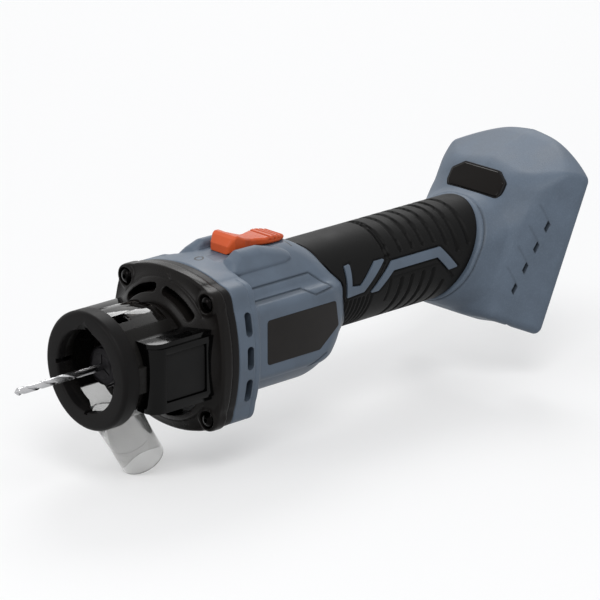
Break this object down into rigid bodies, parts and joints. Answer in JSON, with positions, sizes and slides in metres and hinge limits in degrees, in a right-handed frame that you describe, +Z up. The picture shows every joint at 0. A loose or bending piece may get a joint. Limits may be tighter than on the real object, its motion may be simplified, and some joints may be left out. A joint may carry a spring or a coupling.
{
  "type": "drywall cut out tool",
  "caption": "Cordless drywall cut out tool: straight spindle with a spiral bit, sliding depth guide with a clear dust chute, slim grip and a leaning foot for a slide-on battery.",
  "frame": {"origin": "on the spindle axis at the front face of the depth guide's ring, guide pushed back", "axes": "+X rearwards along the spindle, +Z up (switch side), -Y the left side of someone who holds the tool and points it ahead"},
  "size_m": [0.2977, 0.08, 0.1059],
  "materials": {
    "ring_black": "matte, fine grain",
    "guide_grey": "satin",
    "smoked": "smoked, clear",
    "clear": "clear",
    "bright_steel": "ground",
    "dark_steel": "black oxide",
    "fan_plastic": "matte",
    "laminations": "stacked sheet",
    "magnet": "plated",
    "cover_black": "satin",
    "gasket_black": "satin",
    "gloss_black": "gloss",
    "pad_grey": "satin",
    "housing_blue": "fine texture",
    "grip_black": "soft touch",
    "label": "printed sheet",
    "orange": "satin",
    "copper": "enamelled wire",
    "board_green": "coated",
    "white_plastic": "matte",
    "alloy": "extruded",
    "cap_blue": "sleeved",
    "lead_red": "insulated",
    "lead_black": "insulated",
    "lens_dark": "gloss",
    "block_black": "matte",
    "contact_brass": "plated"
  },
  "bodies": {
    "tool_body": {"front_cover": "cover_black", "nose_tube": "cover_black", "cover_gasket": "gasket_black", "nose_frame": "gloss_black", "cover_screws": "dark_steel", "nose_screws": "bright_steel", "lock_springs": "bright_steel", "release_springs": "bright_steel", "housing_left": "housing_blue", "housing_right": "housing_blue", "housing_screws": "dark_steel", "grip_left": "grip_black", "grip_right": "grip_black", "label_left": "label", "label_right": "label", "front_bearing": "bright_steel", "rear_bearing": "bright_steel", "stator_core": "laminations", "stator_coils": "copper", "sensor_board": "board_green", "switch_module": "fan_plastic", "control_board": "board_green", "board_connector": "white_plastic", "heat_sink": "alloy", "capacitors": "cap_blue", "motor_leads": "lead_red", "switch_leads": "lead_black", "battery_leads": "lead_red", "light_lens": "lens_dark", "light_board": "white_plastic", "terminal_block": "block_black", "terminal_blades": "contact_brass"},
    "depth_guide": {"guide_ring": "ring_black", "guide_frame": "guide_grey", "guide_window": "smoked", "dust_chute": "clear"},
    "spindle_body": {"cutting_bit": "bright_steel", "collet": "bright_steel", "collet_nut": "dark_steel", "spindle": "bright_steel", "lock_ring": "bright_steel", "fan": "fan_plastic", "rotor_core": "laminations", "rotor_magnets": "magnet"},
    "lock_button": {"lock_pad": "pad_grey", "lock_pin": "bright_steel"},
    "release_button": {"release_pad": "pad_grey"},
    "switch_slider": {"slide_button": "orange", "slide_link": "bright_steel"}
  },
  "joints": [
    {"name": "guide_slide", "type": "slide", "parent": "tool_body", "child": "depth_guide", "axis": [-1, 0, 0], "range_m": [0, 0.008]},
    {"name": "spindle_turn", "type": "hinge", "parent": "tool_body", "child": "spindle_body", "pos_m": [0, 0, 0], "axis": [1, 0, 0], "continuous": true},
    {"name": "lock_press", "type": "slide", "parent": "tool_body", "child": "lock_button", "axis": [0, -1, 0], "range_m": [0, 0.0022], "stiffness_N_per_m": 1500, "deforming": ["lock_springs"]},
    {"name": "release_press", "type": "slide", "parent": "tool_body", "child": "release_button", "axis": [0, 1, 0], "range_m": [0, 0.0022], "stiffness_N_per_m": 1500, "deforming": ["release_springs"]},
    {"name": "switch_slide", "type": "slide", "parent": "tool_body", "child": "switch_slider", "axis": [-1, 0, 0], "range_m": [0, 0.008]}
  ]
}
